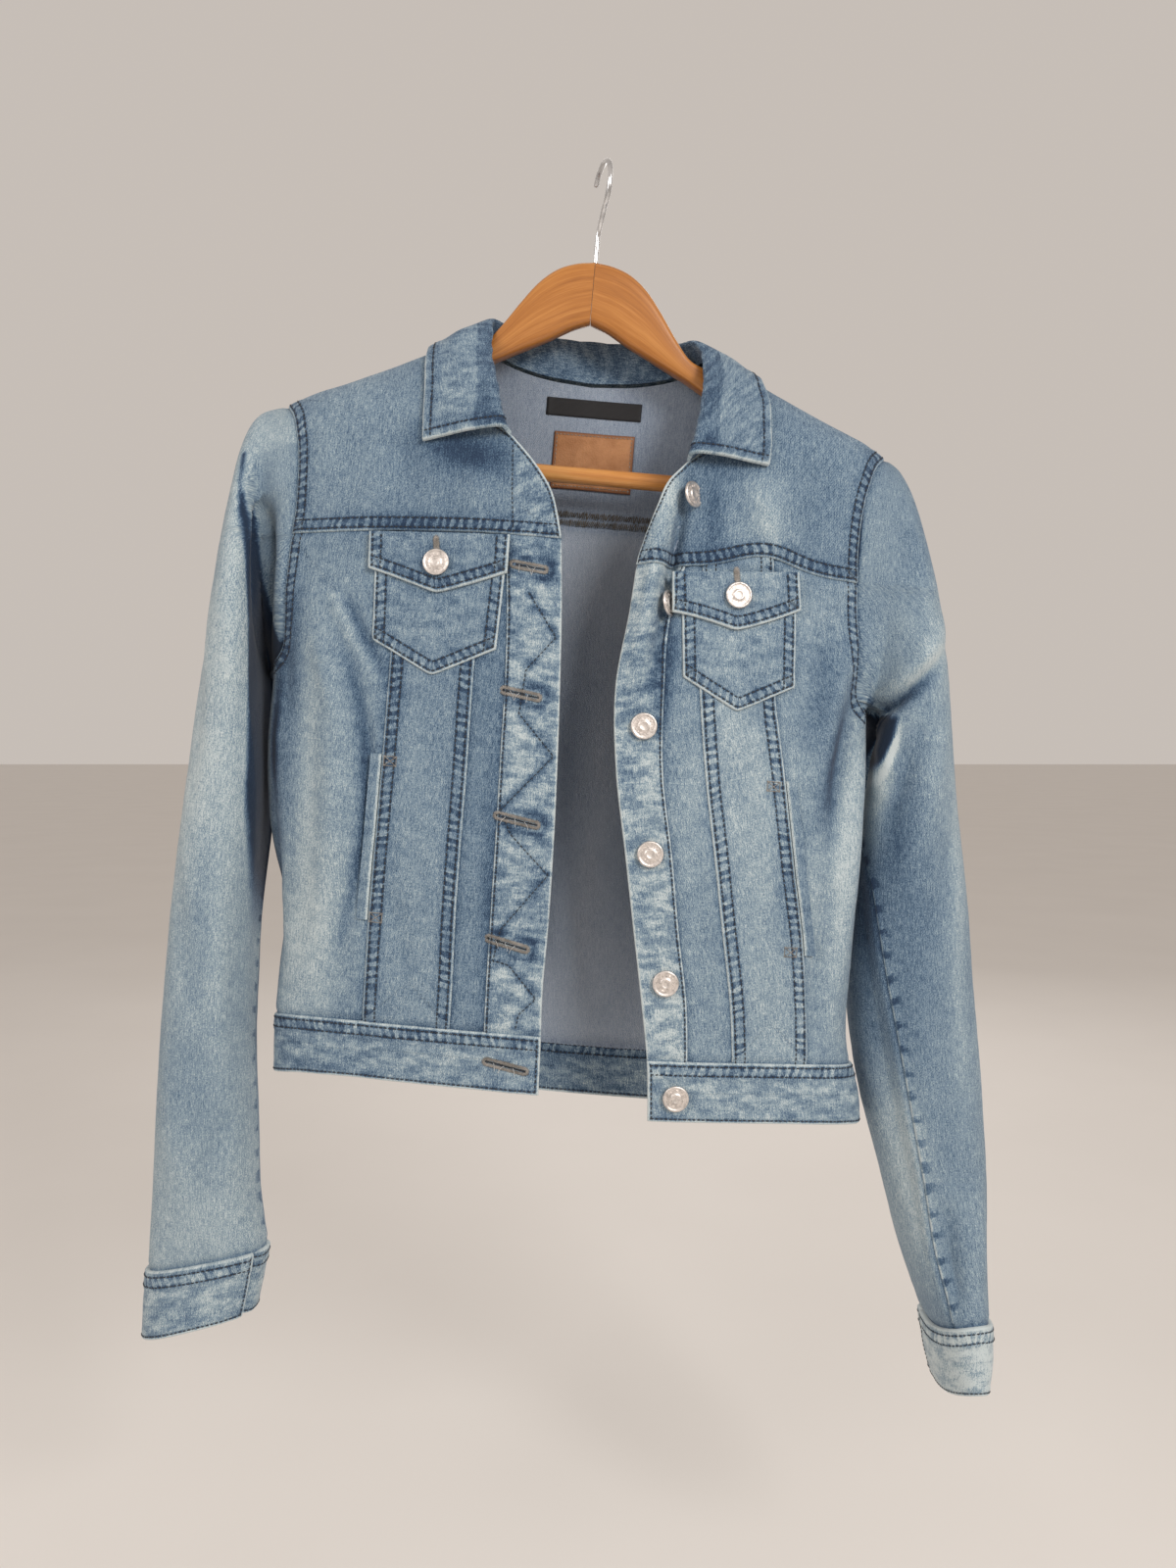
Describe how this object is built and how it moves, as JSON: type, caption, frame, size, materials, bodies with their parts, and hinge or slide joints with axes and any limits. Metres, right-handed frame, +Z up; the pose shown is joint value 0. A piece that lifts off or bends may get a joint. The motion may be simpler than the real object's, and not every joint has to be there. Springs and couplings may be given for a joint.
{
  "type": "denim jacket on a wooden hanger",
  "caption": "Cropped blue denim jacket with collar, yokes, chest pockets and metal buttons, hanging open on a wooden hanger.",
  "frame": {"origin": "inside top of the hanger's hook, where it hangs on a rail", "axes": "+Z up, along the height; +X to the wearer's left; -Y to the front of the jacket"},
  "size_m": [0.575, 0.1101, 0.8385],
  "materials": {
    "denim": "washed blue denim, diagonal twill",
    "denim_double": "washed blue denim, two layers, worn pale at the edges",
    "button_metal": "worn silver metal, slightly coppery",
    "wood": "honey-coloured varnish",
    "hook_metal": "polished",
    "label_leather": "tan, matt",
    "label_cloth": "black woven tape"
  },
  "bodies": {
    "root": {"back_centre": "denim", "back_side_left": "denim", "back_side_right": "denim", "back_yoke": "denim", "button_band_left": "denim_double", "chest_pocket_left": "denim_double", "chest_pocket_right": "denim_double", "collar": "denim_double", "cuff_button_left": "button_metal", "cuff_button_right": "button_metal", "cuff_left": "denim_double", "cuff_right": "denim_double", "flap_button_left": "button_metal", "flap_button_right": "button_metal", "front_button_1": "button_metal", "front_button_2": "button_metal", "front_button_3": "button_metal", "front_button_4": "button_metal", "front_button_5": "button_metal", "front_button_6": "button_metal", "front_centre_left": "denim", "front_centre_right": "denim", "front_mid_left": "denim", "front_mid_right": "denim", "front_side_left": "denim", "front_side_right": "denim", "front_yoke_left": "denim", "front_yoke_right": "denim", "hanger_arm_left": "wood", "hanger_arm_right": "wood", "hanger_bar": "wood", "hanger_hook": "hook_metal", "hem_band_back": "denim_double", "hem_band_left": "denim_double", "hem_band_right": "denim_double", "label_patch": "label_leather", "label_woven": "label_cloth", "placket_right": "denim_double", "pocket_flap_left": "denim_double", "pocket_flap_right": "denim_double", "side_pocket_welt_left": "denim_double", "side_pocket_welt_right": "denim_double", "sleeve_top_left": "denim", "sleeve_top_right": "denim", "sleeve_under_left": "denim", "sleeve_under_right": "denim"}
  },
  "joints": []
}
